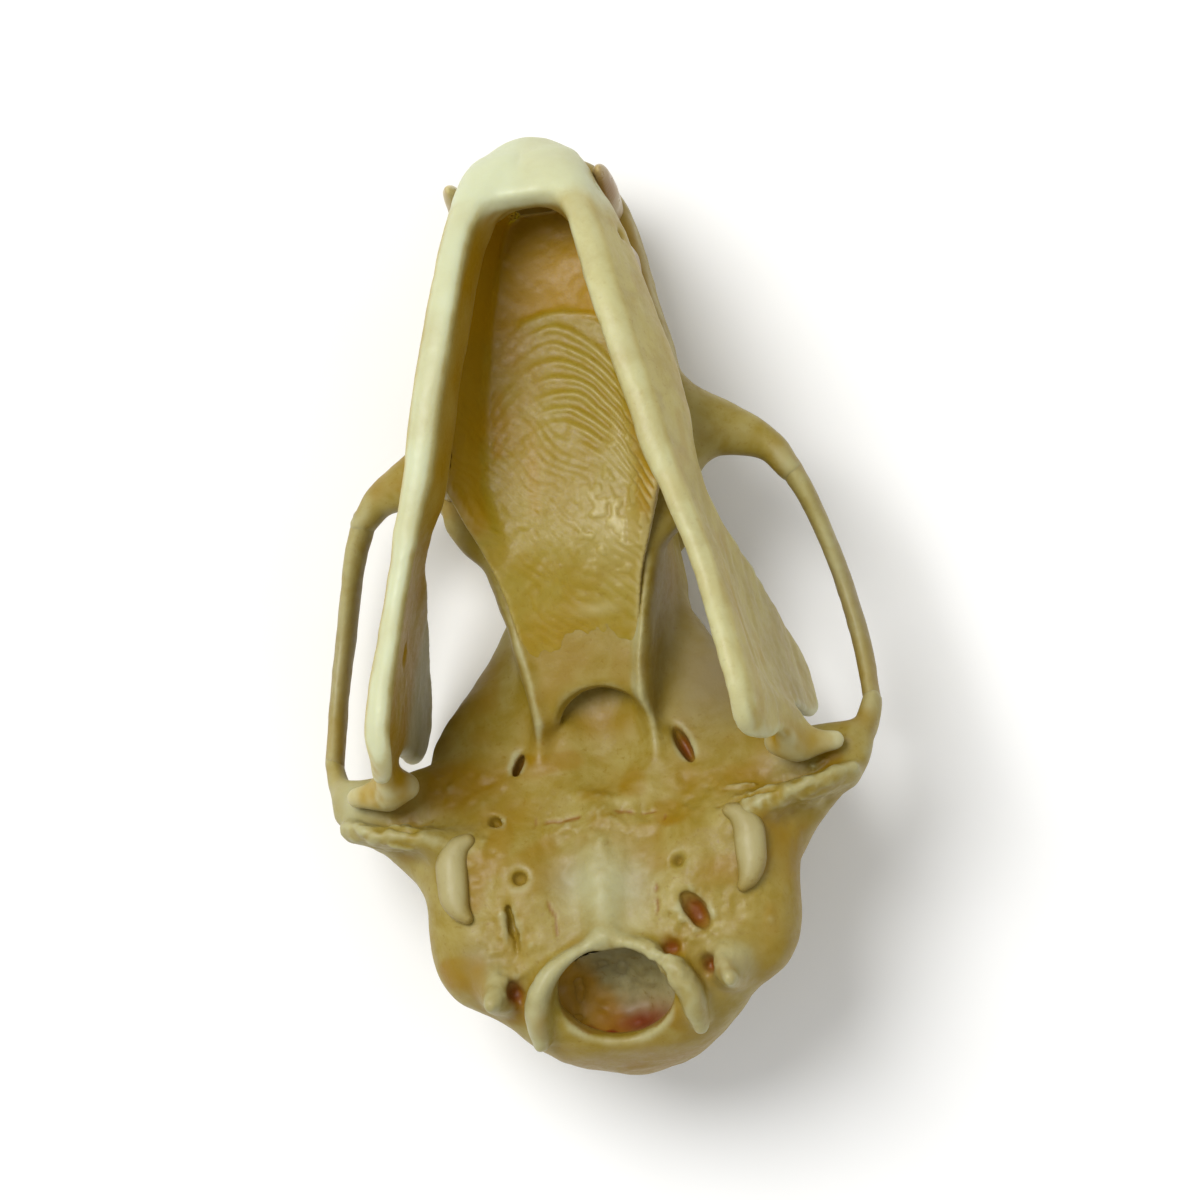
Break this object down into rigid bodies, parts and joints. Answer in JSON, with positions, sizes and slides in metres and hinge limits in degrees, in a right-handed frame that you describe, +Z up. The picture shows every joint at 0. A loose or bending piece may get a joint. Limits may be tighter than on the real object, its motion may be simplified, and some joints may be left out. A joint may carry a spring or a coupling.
{
  "type": "fruit bat skull",
  "caption": "Dry skull of a fruit bat with its lower jaw shut, lying on its back, underside up.",
  "frame": {"origin": "centre of the underside of the box around the skull as it lies, on the floor", "axes": "+Z up, +Y towards the snout along the skull's length, +X towards the animal's left side"},
  "size_m": [0.0218, 0.037, 0.0173],
  "materials": {
    "bone": "satin",
    "jaw_bone": "satin",
    "ear_bone": "matte",
    "dry_skin": "satin"
  },
  "bodies": {
    "root": {"cranium": "bone", "lower_jaw": "jaw_bone", "palate_skin": "dry_skin", "cheek_bone_left": "bone", "cheek_bone_right": "bone", "ear_bone_left": "ear_bone", "ear_bone_right": "ear_bone"}
  },
  "joints": []
}
